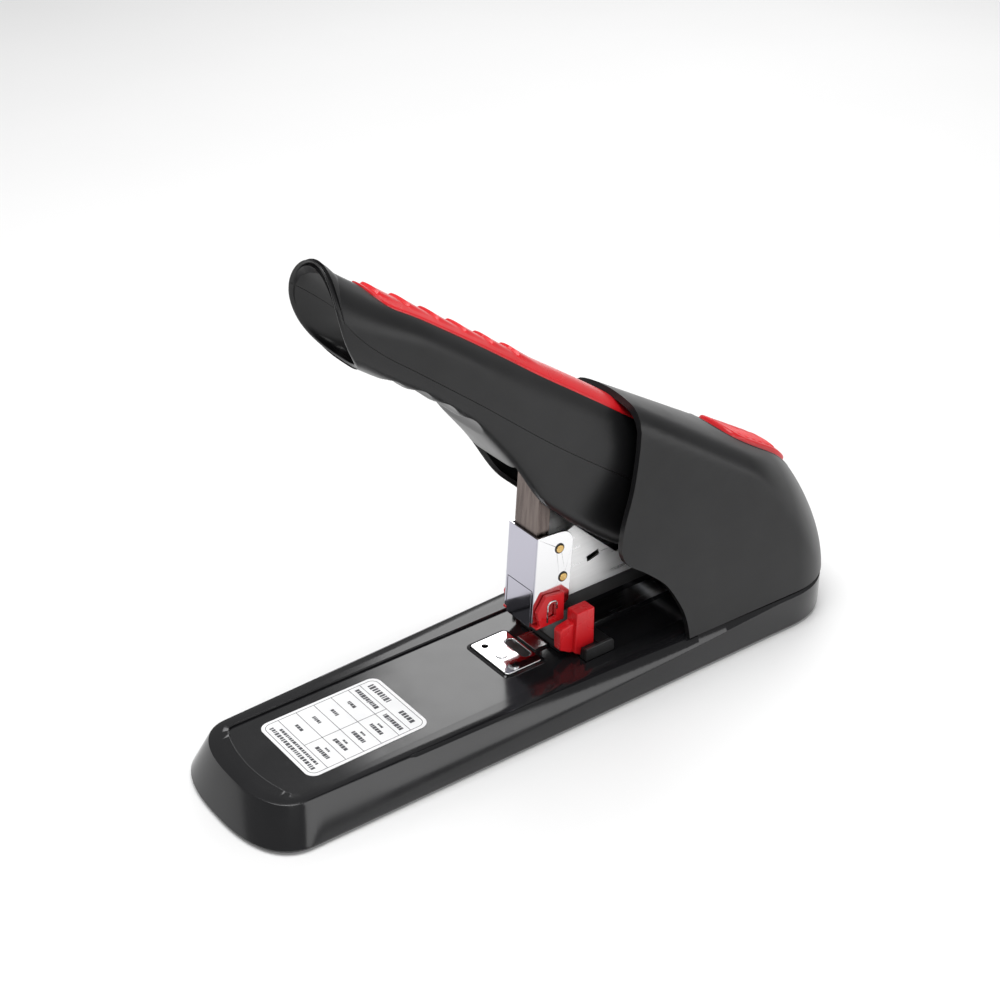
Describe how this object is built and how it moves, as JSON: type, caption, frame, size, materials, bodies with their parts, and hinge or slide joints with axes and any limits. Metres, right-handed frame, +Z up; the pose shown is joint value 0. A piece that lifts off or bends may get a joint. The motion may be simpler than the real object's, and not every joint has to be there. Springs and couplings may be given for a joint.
{
  "type": "stapler",
  "caption": "Heavy-duty desk stapler with a long raised lever handle, flat base with anvil, chromed staple head, sliding paper stop and a rear release button.",
  "frame": {"origin": "on the desk, under the middle of the base", "axes": "+X to the hinge end, +Y to the side, +Z up"},
  "size_m": [0.279, 0.0784, 0.198],
  "materials": {
    "satin_black": "satin",
    "gloss_black": "gloss",
    "red": "gloss",
    "label_white": null,
    "chrome": "mirror",
    "steel": "polished",
    "zinc_steel": "zinc plated",
    "black_steel": "black coated",
    "bronze_steel": "bronze tinted",
    "brass": "polished",
    "rubber": "matt"
  },
  "bodies": {
    "base": {"base_shell": "satin_black", "base_plate": "zinc_steel", "rubber_feet": "rubber", "deck_panel": "gloss_black", "size_label": "label_white", "anvil_plate": "chrome", "anvil_rivets": "chrome", "depth_strip": "steel", "frame_plate_left": "zinc_steel", "frame_plate_right": "zinc_steel", "frame_spacers": "zinc_steel", "handle_axle": "steel", "head_axle": "steel", "handle_spring": "steel", "head_spring": "steel", "rear_housing": "satin_black", "button_bezel": "satin_black", "housing_screws": "steel", "latch_pin": "steel"},
    "handle": {"handle_upper_shell": "satin_black", "handle_lower_shell": "satin_black", "grip_insert": "red", "handle_lever": "black_steel", "handle_screws": "steel"},
    "head": {"front_housing": "chrome", "arm_plate_left": "chrome", "arm_plate_right": "chrome", "head_rivets": "chrome", "head_bridge": "zinc_steel", "magazine_channel": "black_steel", "staple_core": "zinc_steel", "pusher_rod": "steel", "pusher_spring": "steel"},
    "gate": {"gate_plate": "chrome", "gate_grip": "red"},
    "pusher": {"staple_pusher": "zinc_steel"},
    "driver": {"driver_blade": "bronze_steel", "drive_pin": "brass"},
    "guide": {"guide_slider": "satin_black", "guide_wings": "black_steel", "guide_knobs": "red"},
    "button": {"release_button": "red"},
    "latch": {"release_latch": "satin_black"}
  },
  "joints": [
    {"name": "handle_hinge", "type": "hinge", "parent": "base", "child": "handle", "pos_m": [0.082, 0, 0.062], "axis": [0, -1, 0], "range_deg": [0, 20], "stiffness_Nm_per_rad": 1.2, "springref_deg": -51.57},
    {"name": "head_hinge", "type": "hinge", "parent": "base", "child": "head", "pos_m": [0.1, 0, 0.035], "axis": [0, -1, 0], "range_deg": [0, 6.2], "stiffness_Nm_per_rad": 1, "springref_deg": -17.19, "deforming": ["head_spring"]},
    {"name": "driver_slide", "type": "slide", "parent": "head", "child": "driver", "axis": [-0.0638, 0, -0.998], "range_m": [0, 0.0185]},
    {"name": "gate_slide", "type": "slide", "parent": "head", "child": "gate", "axis": [-1, 0, 0], "range_m": [0, 0.018]},
    {"name": "pusher_slide", "type": "slide", "parent": "head", "child": "pusher", "axis": [1, 0, 0], "range_m": [0, 0.05], "stiffness_N_per_m": 30, "springref_m": -0.03, "deforming": ["pusher_spring"]},
    {"name": "guide_slide", "type": "slide", "parent": "base", "child": "guide", "axis": [1, 0, 0], "range_m": [0, 0.04]},
    {"name": "button_slide", "type": "slide", "parent": "base", "child": "button", "axis": [-0.5126, 0, -0.8586], "range_m": [0, 0.003], "stiffness_N_per_m": 800, "springref_m": -0.002},
    {"name": "latch_hinge", "type": "hinge", "parent": "base", "child": "latch", "pos_m": [0.109, 0, 0.046], "axis": [0, -1, 0], "range_deg": [0, 15]}
  ],
  "couplings": [
    {"joint": "head_hinge", "follows": "handle_hinge", "ratio": 0.3},
    {"joint": "driver_slide", "follows": "handle_hinge", "m_per_rad": 0.051},
    {"joint": "latch_hinge", "follows": "button_slide", "rad_per_m": 80}
  ]
}
